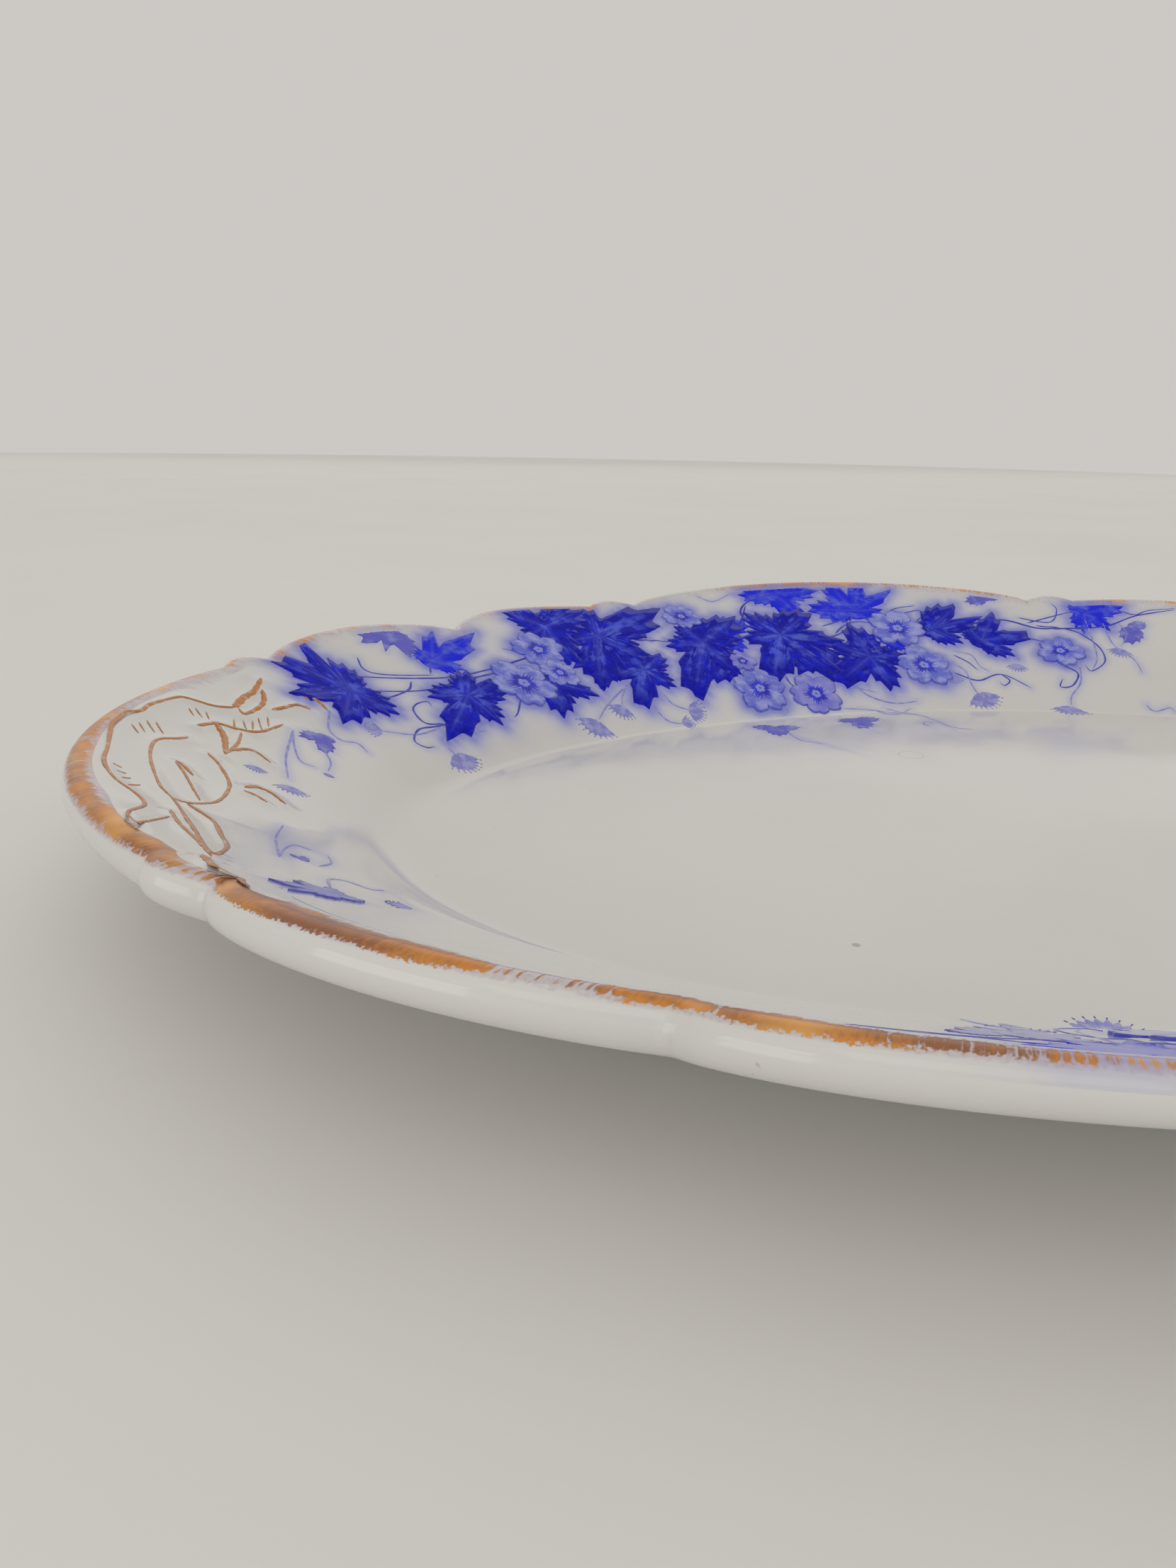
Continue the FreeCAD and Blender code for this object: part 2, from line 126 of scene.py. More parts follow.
# stems: tone, relative width, path as (angle, fraction)
STEMS = [
    ("d", 0.40, [(81.6, 0.63), (77.8, 0.65), (73.6, 0.70), (70.2, 0.64), (66.6, 0.64),
        (63.0, 0.68), (60.2, 0.77), (56.4, 0.84)]),
    ("m", 0.32, [(70.2, 0.66), (66.6, 0.62), (64.4, 0.52), (63.8, 0.40), (65.4, 0.32),
        (66.0, 0.36)]),
    ("m", 0.28, [(71.8, 0.72), (68.8, 0.69), (67.8, 0.79), (68.2, 0.85)]),
    ("m", 0.30, [(68.6, 0.36), (67.0, 0.30), (67.8, 0.22), (69.2, 0.21), (68.8, 0.26)]),
    ("m", 0.28, [(80.8, 0.29), (78.4, 0.24), (75.6, 0.28), (72.6, 0.20)]),
    ("m", 0.25, [(75.6, 0.28), (74.8, 0.24), (75.6, 0.21), (76.0, 0.23)]),
    ("m", 0.28, [(80.0, 0.42), (78.8, 0.37), (78.0, 0.31)]),
    ("d", 0.38, [(103.0, 0.59), (100.6, 0.69), (98.6, 0.83)]),
    ("p", 0.28, [(92.8, 0.22), (91.6, 0.16), (89.0, 0.12), (86.2, 0.13)]),
    ("p", 0.25, [(91.8, 0.07), (90.2, 0.02), (87.6, 0.08)]),
    ("m", 0.30, [(86.6, 0.78), (84.6, 0.73), (81.6, 0.77), (81.2, 0.72)]),
    ("p", 0.30, [(102.8, 0.92), (101.6, 0.87), (99.2, 0.93)]),
    ("m", 0.30, [(91.4, 0.59), (90.0, 0.65), (88.2, 0.68), (86.0, 0.65)]),
    ("m", 0.35, [(130.4, 0.54), (135.9, 0.53), (139.9, 0.56), (145.5, 0.64)]),
    ("m", 0.35, [(131.1, 0.51), (135.8, 0.50), (141.0, 0.49), (147.7, 0.57)]),
    ("m", 0.30, [(141.0, 0.55), (142.7, 0.51), (146.5, 0.50), (147.3, 0.54)]),
    ("m", 0.25, [(142.7, 0.74), (143.8, 0.67), (142.7, 0.62), (137.8, 0.56)]),
    ("m", 0.30, [(137.9, 0.57), (135.8, 0.66)]),
    ("d", 0.35, [(130.4, 0.54), (126.3, 0.57), (117.4, 0.66)]),
    ("m", 0.30, [(117.1, 0.75), (118.4, 0.74), (119.0, 0.78), (119.1, 0.80)]),
    ("m", 0.30, [(117.8, 0.68), (121.0, 0.68), (123.5, 0.68), (125.7, 0.62), (127.3, 0.65)]),
    ("m", 0.35, [(117.7, 0.64), (114.5, 0.64), (112.6, 0.61), (108.2, 0.58)]),
    ("m", 0.30, [(144.4, 0.30), (146.3, 0.33), (145.5, 0.40), (144.1, 0.43), (142.5, 0.43),
        (142.8, 0.40)]),
    ("m", 0.30, [(143.1, 0.29), (145.8, 0.30), (148.2, 0.31), (150.7, 0.27), (150.5, 0.23),
        (149.3, 0.22)]),
    ("p", 0.28, [(144.6, 0.29), (149.1, 0.29), (151.3, 0.33), (152.4, 0.36)]),
    ("p", 0.28, [(145.0, 0.28), (147.5, 0.22), (148.1, 0.16)]),
    ("p", 0.25, [(137.1, 0.28), (139.9, 0.26), (141.3, 0.25), (141.9, 0.23), (140.6, 0.22)]),
    ("m", 0.28, [(132.3, 0.33), (134.3, 0.27), (135.4, 0.25)]),
    ("p", 0.22, [(146.0, 0.50), (147.7, 0.45), (147.5, 0.42), (146.4, 0.42)]),
    ("p", 0.28, [(154.5, 0.51), (157.6, 0.45), (158.6, 0.39), (157.5, 0.35), (158.3, 0.30)]),
    ("p", 0.24, [(161.8, 0.50), (164.9, 0.45), (167.4, 0.40), (167.3, 0.36)]),
    ("p", 0.28, [(161.8, 0.50), (168.0, 0.44), (173.1, 0.39)]),
    ("p", 0.25, [(162.0, 0.40), (164.4, 0.34), (166.9, 0.32)]),
    ("p", 0.30, [(118.4, 0.33), (123.0, 0.23), (125.6, 0.17)]),
    ("p", 0.24, [(118.4, 0.33), (120.5, 0.26), (121.5, 0.21)]),
    ("p", 0.28, [(116.4, 0.28), (117.7, 0.19), (117.3, 0.11), (114.8, 0.08)]),
    ("p", 0.24, [(115.5, 0.25), (115.3, 0.19), (113.7, 0.15)]),
    ("m", 0.30, [(100.0, 0.30), (100.0, 0.25), (99.6, 0.22)]),
    ("p", 0.22, [(102.5, 0.13), (102.3, 0.10), (103.2, 0.08)]),
    ("p", 0.25, [(107.2, -0.17), (108.0, -0.29), (106.5, -0.36)]),
    ("p", 0.22, [(95.4, 0.10), (92.3, 0.08), (87.8, 0.01)]),
    ("p", 0.28, [(90.4, 0.09), (87.3, -0.02), (86.1, -0.21), (83.9, -0.27)]),
    ("p", 0.20, [(88.6, -0.19), (88.9, -0.16), (88.0, -0.12), (87.5, -0.15)]),
    ("p", 0.24, [(94.6, 0.28), (93.2, 0.22), (90.7, 0.18)]),
    ("d", 0.35, [(99.3, 0.69), (99.7, 0.77), (98.1, 0.86), (95.0, 0.92)]),
    ("m", 0.35, [(94.8, 0.54), (92.6, 0.56), (90.3, 0.61), (88.2, 0.75)]),
    ("m", 0.25, [(92.3, 0.65), (89.6, 0.70), (88.2, 0.76)]),
    ("m", 0.35, [(82.5, 0.56), (79.1, 0.64), (74.7, 0.64)]),
    ("p", 0.28, [(80.7, 0.36), (79.5, 0.31), (79.3, 0.22), (78.8, 0.15)]),
    ("p", 0.25, [(82.1, 0.29), (80.9, 0.23), (79.7, 0.25)]),
    ("p", 0.22, [(79.8, 0.45), (78.1, 0.42), (77.6, 0.34), (76.8, 0.30)]),
    ("m", 0.35, [(71.5, 0.56), (69.7, 0.53)]),
    ("m", 0.30, [(71.0, 0.68), (67.9, 0.75), (66.1, 0.79)]),
    ("p", 0.28, [(66.7, 0.41), (66.8, 0.25), (68.1, 0.16), (68.3, 0.11)]),
    ("p", 0.28, [(65.2, 0.72), (64.8, 0.57), (64.6, 0.42), (65.3, 0.33)]),
    ("m", 0.25, [(61.8, 0.81), (60.3, 0.78), (58.9, 0.82), (56.3, 0.85)]),
    ("p", 0.22, [(61.9, 0.70), (61.2, 0.62), (61.9, 0.52)]),
    ("p", 0.22, [(63.5, 0.70), (62.7, 0.53), (60.7, 0.42), (59.9, 0.32)]),
    ("p", 0.25, [(59.6, 0.13), (58.6, 0.09), (56.9, 0.12), (56.2, 0.09)]),
    ("m", 0.25, [(85.6, 0.70), (84.0, 0.78), (81.7, 0.81)]),
    ("p", 0.20, [(73.1, 0.43), (73.0, 0.37)]),
    ("m", 0.30, [(84.2, 0.53), (82.6, 0.66), (81.1, 0.74)]),
]
# umbels: angle, fraction, heading in degrees, size in millimetres
UMBELS = [
    (152.8, 0.37, 51, 1.9),
    (148.0, 0.14, 276, 3.0),
    (175.4, 0.37, 344, 4.5),
    (173.8, 0.48, 341, 2.9),
    (126.6, 0.14, 319, 3.2),
    (121.9, 0.20, 312, 2.3),
    (113.4, 0.15, 214, 2.5),
    (115.6, 0.09, 202, 1.8),
    (78.4, 0.14, 253, 3.3),
    (73.5, 0.34, 276, 1.9),
    (62.1, 0.48, 286, 2.2),
    (68.5, 0.07, 284, 3.3),
    (167.7, 0.31, 347, 1.4),
    (81.1, 0.26, 264, 1.7),
]
# gilded lines of an end cartouche: relative width, path as (angle, fraction)
GOLD_LINES = [
    (0.75, [(163.2, 0.67), (164.7, 0.71), (165.6, 0.78), (166.6, 0.80), (169.9, 0.82),
        (172.0, 0.82), (173.9, 0.85), (176.1, 0.85), (-177.6, 0.82), (-174.0, 0.82),
        (-170.5, 0.80), (-167.8, 0.76), (-165.5, 0.76), (-162.5, 0.82), (-160.5, 0.84),
        (-159.7, 0.84), (-164.0, 0.72)]),
    (1.50, [(163.2, 0.67), (160.5, 0.69), (158.3, 0.70), (155.5, 0.74)]),
    (1.10, [(157.4, 0.69), (159.0, 0.65), (160.8, 0.63), (163.5, 0.63), (163.0, 0.66)]),
    (0.60, [(173.6, 0.67), (174.8, 0.69), (176.2, 0.72), (178.1, 0.73), (-178.6, 0.72),
        (-174.4, 0.70), (-171.8, 0.69), (-169.3, 0.67), (-165.2, 0.67), (-160.9, 0.69)]),
    (0.90, [(170.2, 0.68), (168.0, 0.65), (167.3, 0.60), (165.8, 0.55), (162.0, 0.53)]),
    (1.40, [(168.1, 0.65), (170.3, 0.60), (174.2, 0.56)]),
    (0.70, [(173.4, 0.56), (170.3, 0.56), (167.6, 0.58)]),
    (0.90, [(172.7, 0.56), (170.9, 0.53), (170.6, 0.50), (171.7, 0.45)]),
    (1.00, [(-179.4, 0.48), (179.4, 0.45), (179.6, 0.41), (-178.6, 0.37)]),
    (0.80, [(-178.3, 0.48), (-178.2, 0.45), (-177.3, 0.42)]),
    (1.00, [(160.1, 0.60), (158.5, 0.59), (156.8, 0.58), (156.3, 0.54)]),
    (1.20, [(154.7, 0.60), (154.0, 0.57), (154.8, 0.51)]),
    (0.70, [(175.5, 0.60), (177.1, 0.56), (-179.1, 0.52), (-175.3, 0.53), (-172.4, 0.56),
        (-170.7, 0.60), (-169.6, 0.64), (-169.7, 0.67)]),
    (0.60, [(-179.8, 0.66), (-177.3, 0.63), (-174.1, 0.61), (-171.5, 0.60)]),
    (1.00, [(-179.8, 0.66), (-179.4, 0.64), (-177.6, 0.61)]),
    (0.80, [(-169.3, 0.64), (-168.2, 0.62), (-166.3, 0.60), (-162.7, 0.62), (-159.5, 0.65),
        (-156.7, 0.71), (-156.2, 0.74), (-161.6, 0.69), (-166.9, 0.67)]),
    (0.70, [(-166.0, 0.70), (-162.7, 0.71), (-159.3, 0.72), (-155.0, 0.76)]),
    (1.20, [(-154.4, 0.79), (-152.0, 0.82), (-148.3, 0.88)]),
]
# short hatching strokes: angle and fraction at both ends
HATCHES = [
    (175.1, 0.81, 176.4, 0.78), (174.1, 0.80, 175.6, 0.77), (173.1, 0.79, 174.9, 0.75),
    (172.6, 0.77, 174.5, 0.73), (-174.3, 0.80, -174.2, 0.78),
    (-173.0, 0.79, -173.1, 0.77), (-171.7, 0.78, -172.3, 0.76),
    (-170.3, 0.77, -171.4, 0.74), (167.0, 0.75, 168.0, 0.72), (166.4, 0.74, 167.6, 0.70),
    (166.2, 0.71, 167.5, 0.68), (164.5, 0.62, 166.4, 0.58), (163.8, 0.60, 165.8, 0.57),
    (162.7, 0.60, 165.1, 0.55), (161.5, 0.59, 163.7, 0.55), (167.0, 0.61, 165.1, 0.64),
]
GOLD_LINES += [(0.40, [(a, f), (b, g)]) for a, f, b, g in HATCHES]


def lip_inset(angle):
    """How far the lip lies inside the base oval, angle in degrees."""
    folded = np.abs((angle + 180.0) % 360.0 - 180.0)
    folded = np.minimum(folded, 180.0 - folded)
    starts = [-VALLEYS[0]] + VALLEYS
    ends = VALLEYS + [180.0 - VALLEYS[-1]]
    first = [DEPTHS[0]] + DEPTHS
    last = DEPTHS + [DEPTHS[-1]]
    inset = np.zeros_like(folded)
    for start, end, low, high, tip in zip(starts, ends, first, last, TIPS):
        inside = (folded >= start) & (folded <= end)
        along = (folded[inside] - start) / (end - start)
        swell = np.clip(np.sin(np.pi * along), 0.0, 1.0)
        valley = low + (high - low) * along
        if tip is None:
            inset[inside] = valley - BUMP_RISE * swell
        else:
            inset[inside] = valley + (tip - valley) * swell ** TIP_ROUNDNESS
    return inset


def border_reach(angle):
    """Width of the border at an angle, in plan."""
    turn = np.radians(angle)
    return np.hypot((OVAL_X - WELL_X) * np.cos(turn), (OVAL_Y - WELL_Y) * np.sin(turn))


def lip_fraction(angle):
    """Fraction across the border at which the scalloped lip lies."""
    return 1.0 - lip_inset(angle) / border_reach(angle)


def rise(distance):
    """Height of the border above the well floor."""
    flat, mid, end, steep, flange = 0.002, 0.009, 0.020, 0.70, 0.45
    first = np.clip(distance, flat, mid) - flat
    second = np.clip(distance, mid, end) - mid
    height = 0.5 * steep * first * first / (mid - flat)
    height = height + steep * second - 0.5 * (steep - flange) * second * second / (end - mid)
    return height + flange * np.clip(distance - end, 0.0, None)


def plan(angle, fraction):
    turn = np.radians(angle)
    x = (WELL_X + (OVAL_X - WELL_X) * fraction) * np.cos(turn)
    y = (WELL_Y + (OVAL_Y - WELL_Y) * fraction) * np.sin(turn)
    return x, y


def border_place(x, y):
    """Angle and fraction across the border of a point in plan."""
    f = np.full(np.shape(x), 0.5)
    for _ in range(25):
        a = WELL_X + (OVAL_X - WELL_X) * f
        b = WELL_Y + (OVAL_Y - WELL_Y) * f
        g = (x / a) ** 2 + (y / b) ** 2 - 1.0
        slope = (-2.0 * x * x * (OVAL_X - WELL_X) / a ** 3
                 - 2.0 * y * y * (OVAL_Y - WELL_Y) / b ** 3)
        f = np.clip(f - g / np.where(np.abs(slope) < 1e-9, -1e-9, slope), -1.0, 1.6)
    a = WELL_X + (OVAL_X - WELL_X) * f
    b = WELL_Y + (OVAL_Y - WELL_Y) * f
    return np.degrees(np.arctan2(y / b, x / a)), f


def smooth_path(points, step):
    """Points along a smooth curve through the given ones."""
    p = np.array(points, float)
    p = np.vstack([2 * p[0] - p[1], p, 2 * p[-1] - p[-2]])
    out = []
    for i in range(1, len(p) - 2):
        count = max(2, int(np.linalg.norm(p[i + 1] - p[i]) / step))
        t = np.linspace(0, 1, count, endpoint=False)[:, None]
        out.append(0.5 * (2 * p[i] + (p[i + 1] - p[i - 1]) * t
                          + (2 * p[i - 1] - 5 * p[i] + 4 * p[i + 1] - p[i + 2]) * t ** 2
                          + (3 * p[i] - p[i - 1] - 3 * p[i + 1] + p[i + 2]) * t ** 3))
    out.append(p[-2:-1])
    return np.vstack(out)


def plan_path(points, turned, step=0.0006):
    """Smooth plan path through border places, as given or half a turn round."""
    x, y = plan(np.array([q[0] for q in points]), np.array([q[1] for q in points]))
    sign = -1.0 if turned else 1.0
    return smooth_path(np.stack([x * sign, y * sign], -1), step)


def build_relief_tree():
    """Plan places of the moulded ribs, with their width, and of the scrolls."""
    spots = []
    for turned in (False, True):
        for width, points in GOLD_LINES:
            if width >= RIB_MIN_WIDTH:
                path = plan_path(points, turned)
                spots += [(x, y, width) for x, y in path]
    for x, y in SCROLLS:
        for k in range(SCROLL_POINTS):
            turn, radius = SCROLL_TURN * k, SCROLL_RADIUS * (1.0 - k / 75.0)
            spots.append((x + radius * math.cos(turn) * 1.2, y + radius * math.sin(turn), 0.0))
    tree = KDTree(len(spots))
    for index, (x, y, width) in enumerate(spots):
        tree.insert((x, y, 0.0), index)
    tree.balance()
    return tree, spots


def middle(node):
    low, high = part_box(node)
    return 0.5 * (low[0] + high[0]), 0.5 * (low[1] + high[1])


SCROLLS = [middle("flange_scroll_" + place)
           for place in ("far_left", "far_right", "near_left", "near_right")]
RELIEF_TREE, RELIEF_SPOTS = build_relief_tree()


def relief(x, y):
    """Height of the moulded end cartouches and the flange scrolls."""
    x = np.atleast_1d(x)
    y = np.atleast_1d(y)
    height = np.zeros(len(x))
    for i in range(len(x)):
        _, index, gap = RELIEF_TREE.find((x[i], y[i], 0.0))
        if gap < RELIEF_REACH:
            strength = 0.5 + 0.3 * RELIEF_SPOTS[index][2]
            height[i] = RIB_HEIGHT * strength * math.exp(-(gap / RIB_SPREAD) ** 2)
            if RELIEF_SPOTS[index][2] > 0.0:
                height[i] += SWELL_HEIGHT * math.exp(-(gap / SWELL_SPREAD) ** 2)
    return height


def surface(x, y, lift):
    """Points of the moulded upper face at plan places, lifted straight up."""
    _, f = border_place(x, y)
    z = FLOOR_TOP + rise(SPAN * np.clip(f, 0.0, None)) + relief(x, y)
    return np.stack([x, y, z + lift], -1)


def keep_inside(x, y, margin=0.012):
    """Plan places held inside the scalloped lip."""
    angle, f = border_place(x, y)
    f = np.minimum(f, lip_fraction(angle) - margin)
    return plan(angle, f)


def border_frame(angle, fraction):
    """Plan point and unit directions along and out of the border."""
    turn = math.radians(angle)
    along = np.array([-OVAL_X * math.sin(turn), OVAL_Y * math.cos(turn)])
    along /= np.linalg.norm(along)
    x, y = plan(angle, fraction)
    return np.array([float(x), float(y)]), along, np.array([along[1], -along[0]])


# ------------------------------------------------------------ mesh helpers
def make_piece(name, verts, faces, material, layers=None):
    mesh = bpy.data.meshes.new(name)
    mesh.from_pydata([tuple(v) for v in verts], [], faces)
    mesh.validate()
    for polygon in mesh.polygons:
        polygon.use_smooth = True
    for layer, values in (layers or {}).items():
        attribute = mesh.attributes.new(layer, "FLOAT_COLOR", "POINT")
        flat = np.ones((len(mesh.vertices), 4), np.float32)
        values = np.asarray(values, np.float32)
        flat[:, :values.shape[1]] = values
        attribute.data.foreach_set("color", flat.ravel())
    mesh.materials.append(material)
    piece = bpy.data.objects.new(name, mesh)
    bpy.context.scene.collection.objects.link(piece)
    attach(piece, "root")
    return piece


class Patchwork:
    """Collects the small figures of one print colour into one mesh."""

    def __init__(self):
        self.verts, self.faces, self.data = [], [], []

    def add(self, verts, faces, data):
        start = sum(len(block) for block in self.verts)
        self.verts.append(np.asarray(verts))
        self.data.append(np.asarray(data))
        self.faces += [tuple(start + i for i in face) for face in faces]

    def piece(self, name, material):
        return make_piece(name, np.vstack(self.verts), self.faces, material,
                          {"figure": np.vstack(self.data)})


def rows_to_faces(rows, columns, closed):
    faces = []
    wrap = columns if closed else columns - 1
    for r in range(rows - 1):
        for c in range(wrap):
            d = (c + 1) % columns
            faces.append((r * columns + c, r * columns + d,
                          (r + 1) * columns + d, (r + 1) * columns + c))
    return faces


TONES = {"d": 0.0, "m": 0.5, "p": 1.0}
SHAPE_POINTS, LINE_POINTS = [], []


def polar_figure(work, base, along, out, reach, rings, data_of, lift, tone):
    """Figure round a base point whose edge lies at reach(direction)."""
    count = FIGURE_POINTS
    theta = np.linspace(-np.pi, np.pi, count, endpoint=False)
    edge, extra = reach(theta)
    steps = np.linspace(0.0, 1.0, rings + 1)[1:]
    radius = np.concatenate([[0.0]] + [edge * s for s in steps])
    angle = np.concatenate([[0.0]] + [theta] * rings)
    x = base[0] + radius * (np.cos(angle) * along[0] + np.sin(angle) * out[0]) * FIGURE_SCALE
    y = base[1] + radius * (np.cos(angle) * along[1] + np.sin(angle) * out[1]) * FIGURE_SCALE
    x, y = keep_inside(x, y)
    verts = surface(x, y, lift)
    skirt = verts[-count:] - np.array([0.0, 0.0, lift + SKIRT])
    share = np.concatenate([[0.0]] + [np.full(count, s) for s in steps])
    side = np.concatenate([[0.0]] + [extra * s for s in steps])
    data = data_of(share, side, radius)
    data = np.column_stack([data, np.full(len(data), tone)])
    faces = [(0, 1 + (c + 1) % count, 1 + c)[::-1] for c in range(count)]
    for face in rows_to_faces(rings + 1, count, True):
        faces.append(tuple(i + 1 for i in face)[::-1])
    verts = np.vstack([verts, skirt])
    data = np.vstack([data, data[-count:]])
    if np.cross(np.append(along, 0), np.append(out, 0))[2] < 0:
        faces = [face[::-1] for face in faces]
    work.add(verts, faces, data)
    (LINE_POINTS if tone == TONES["p"] else SHAPE_POINTS).append(np.column_stack([x, y]))


def leaf(work, tone, angle, fraction, tips, lift, mirrored):
    base, along, out = border_frame(angle, fraction)
    ways = [(180.0 - a if mirrored else a, r) for a, r in tips]
    ways = sorted(((a + 180.0) % 360.0 - 180.0, r / 1000.0) for a, r in ways)
    mean = sum(r for _, r in ways) / len(ways)

    def reach(theta):
        degrees = np.degrees(theta)
        best = np.full(len(theta), LEAF_BODY * mean)
        side = np.full(len(theta), LEAF_SIDE)
        near = np.full(len(theta), 1e9)
        for index, (way, length) in enumerate(ways):
            before = (way - ways[index - 1][0]) % 360.0 or 360.0
            after = (ways[(index + 1) % len(ways)][0] - way) % 360.0 or 360.0
            gap = (degrees - way + 180.0) % 360.0 - 180.0
            width = np.where(gap < 0, min(before, LOBE_LIMIT), min(after, LOBE_LIMIT))
            width = width * LOBE_SPREAD
            part = np.clip(1.0 - np.abs(gap) / width, 0.0, 1.0)
            core = LEAF_CORE * mean
            lobe = core + (LOBE_GAIN * length - core) * part ** LOBE_POWER
            best = np.where(part > 0, np.maximum(best, lobe), best)
            closer = np.abs(gap) < near
            near = np.where(closer, np.abs(gap), near)
            swing = np.radians(np.minimum(np.abs(gap), 40.0))
            side = np.where(closer, swing * length * 0.8, side)
        tooth = np.abs((np.arange(len(theta)) % 6) / 2.0 - 1.0) ** 1.5
        best = best * (1.0 + TOOTH_DEPTH * (tooth - 0.5) * (best > LEAF_CORE * mean))
        return best, side

    def data_of(share, side, radius):
        return np.column_stack([side / LEAF_SIDE, share, radius / LEAF_REACH])

    polar_figure(work, base, along, out, reach, 5, data_of, lift, TONES[tone])


def flower(work, tone, angle, fraction, radius, lift):
    base, along, out = border_frame(angle, fraction)
    radius = radius / 1000.0
    spin = random.uniform(0, 1.2)
    sizes = [random.uniform(0.9, 1.08) for _ in range(5)]

    def reach(theta):
        turn = (theta + spin) / (2 * np.pi) * 5.0
        which = np.floor(turn).astype(int) % 5
        side = np.abs((turn % 1.0) - 0.5) * 2.0
        size = np.array(sizes)[which]
        edge = radius * size * (0.62 + 0.38 * np.sqrt(np.clip(1.0 - side ** 2.6, 0, 1)))
        edge = edge * (1.0 + 0.025 * np.cos(turn * 6 * np.pi))
        edge = edge * (1.0 - 0.06 * np.exp(-(side / 0.12) ** 2))
        return edge, side

    def data_of(share, side, distance):
        return np.column_stack([side, share, np.minimum(distance / radius, 1.2)])

    polar_figure(work, base, along, out, reach, 9, data_of, lift, TONES[tone])


def ribbon(work, path, width, tone, lift, taper=0.5):
    """Thin raised line along a plan path."""
    path = np.asarray(path)
    x, y = keep_inside(path[:, 0], path[:, 1])
    path = np.stack([x, y], -1)
    way = np.gradient(path, axis=0)
    way /= np.linalg.norm(way, axis=1)[:, None] + 1e-12
    normal = np.stack([-way[:, 1], way[:, 0]], -1)
    t = np.linspace(0, 1, len(path))
    half = width * 0.5 * (1.0 - taper * t ** 2) * (1.0 + 0.12 * np.sin(t * 37.0))
    half = half * np.clip(np.minimum(t, 1.0 - t) * len(path) * 0.35 + 0.25, 0.0, 1.0)
    sides = []
    profile = ((-1.0, -0.00008), (-0.8, 0.0), (0.0, 0.00003), (0.8, 0.0), (1.0, -0.00008))
    for offset, height in profile:
        p = path + normal * (half * offset)[:, None]
        sides.append(surface(p[:, 0], p[:, 1], lift + height))
    verts = np.vstack(sides)
    n = len(path)
    across = np.repeat([1.0, 0.8, 0.0, 0.8, 1.0], n)
    data = np.column_stack([across, np.tile(t, 5),
                            np.ones(5 * n), np.full(5 * n, tone)])
    work.add(verts, [face[::-1] for face in rows_to_faces(5, n, False)], data)
    return path


def umbel(work, angle, fraction, way, size, lift):
    """Fan-shaped flower head: a pale fan, its rays and a dotted edge."""
    base, along, out = border_frame(angle, fraction)
    size = size / 1000.0
    heading = math.radians(way)
    size *= UMBEL_LARGE if abs((angle % 180.0) - 90.0) < UMBEL_ZONE else UMBEL_SMALL
    start = base - (math.cos(heading) * along + math.sin(heading) * out) * size * 0.40
    for k in range(9):
        turn = heading + math.radians(-56 + 14.0 * k)
        tip = start + (math.cos(turn) * along + math.sin(turn) * out) * size * 1.05
        line = start + (tip - start) * np.linspace(0.1, 1, 9)[:, None]
        ribbon(work, line, size * 0.22, 1.0, lift, taper=-0.5)
        dot = tip + (tip - start) * np.linspace(0.05, 0.16, 3)[:, None]
        ribbon(work, dot, 0.0004, 0.6, lift + 0.00002, taper=0.0)
    LINE_POINTS.append(np.array([start + (base - start) * s for s in (0.5, 1.0, 1.5, 2.0)]))


# --------------------------------------------------------------- materials
def new_material(name):
    material = bpy.data.materials.new(name)
    material.use_nodes = True
    nodes, links = material.node_tree.nodes, material.node_tree.links
    return material, nodes, links, nodes["Principled BSDF"]


def socket(sockets, name):
    """The enabled socket of a name, where a node has one per data type."""
    return [s for s in sockets if s.name == name and s.enabled][0]


